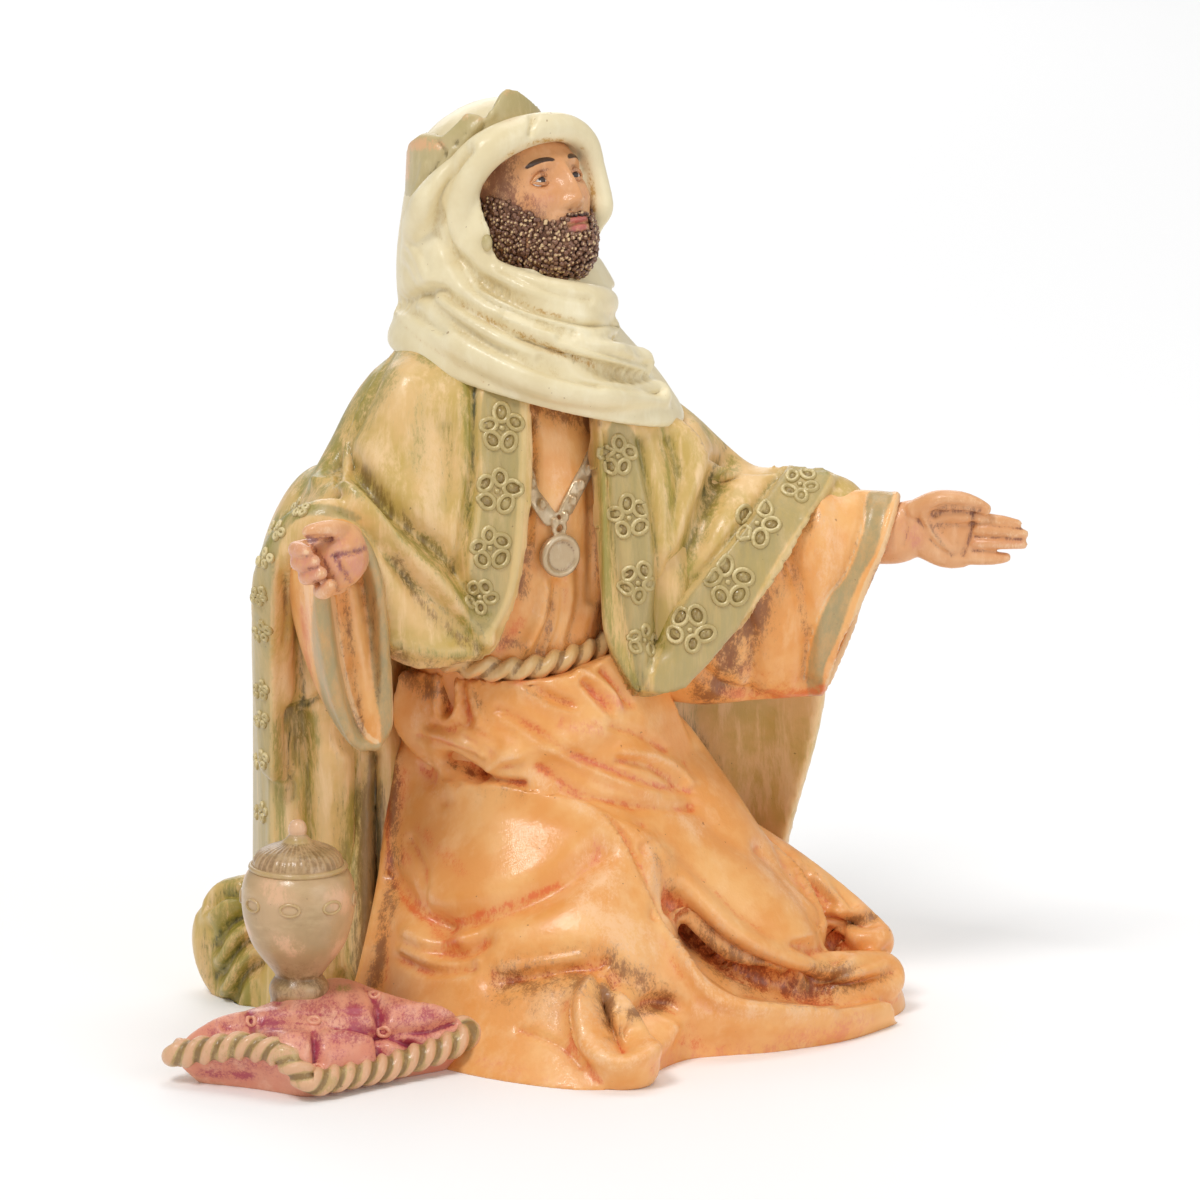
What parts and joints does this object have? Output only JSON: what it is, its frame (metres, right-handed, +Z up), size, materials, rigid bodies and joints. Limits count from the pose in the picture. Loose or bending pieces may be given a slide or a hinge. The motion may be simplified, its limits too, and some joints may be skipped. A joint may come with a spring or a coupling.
{
  "type": "presepe figure",
  "caption": "Kneeling crib king with crowned head-cloth, wide-sleeved coat and arms held out, a lidded urn on a cushion in front, moulded in one.",
  "frame": {"origin": "on the flat underside, below the middle of the waist", "axes": "+X to the viewer's right, -Y towards the viewer, +Z up"},
  "size_m": [0.1262, 0.0916, 0.139],
  "materials": {
    "robe": "hand-painted peach orange under a brown wash, satin gloss",
    "coat": "tan with olive green dry-brushing, satin gloss",
    "coat_band": "grey green band with raised ring flowers, satin gloss",
    "head_cloth": "cream with gold specks in the folds, satin gloss",
    "crown": "olive gold paint, satin gloss",
    "skin": "warm brown skin paint, satin gloss",
    "beard": "dark brown with lighter tips, satin",
    "rope": "olive gold and orange twisted rope, satin gloss",
    "chain": "pale silver beige paint, gloss",
    "urn": "olive gold paint with pink cream wear, satin gloss",
    "cushion": "pink with magenta wash in the creases, satin gloss",
    "piping": "olive gold rope with cream strands, satin gloss"
  },
  "bodies": {
    "root": {"figure": "robe"}
  },
  "joints": []
}
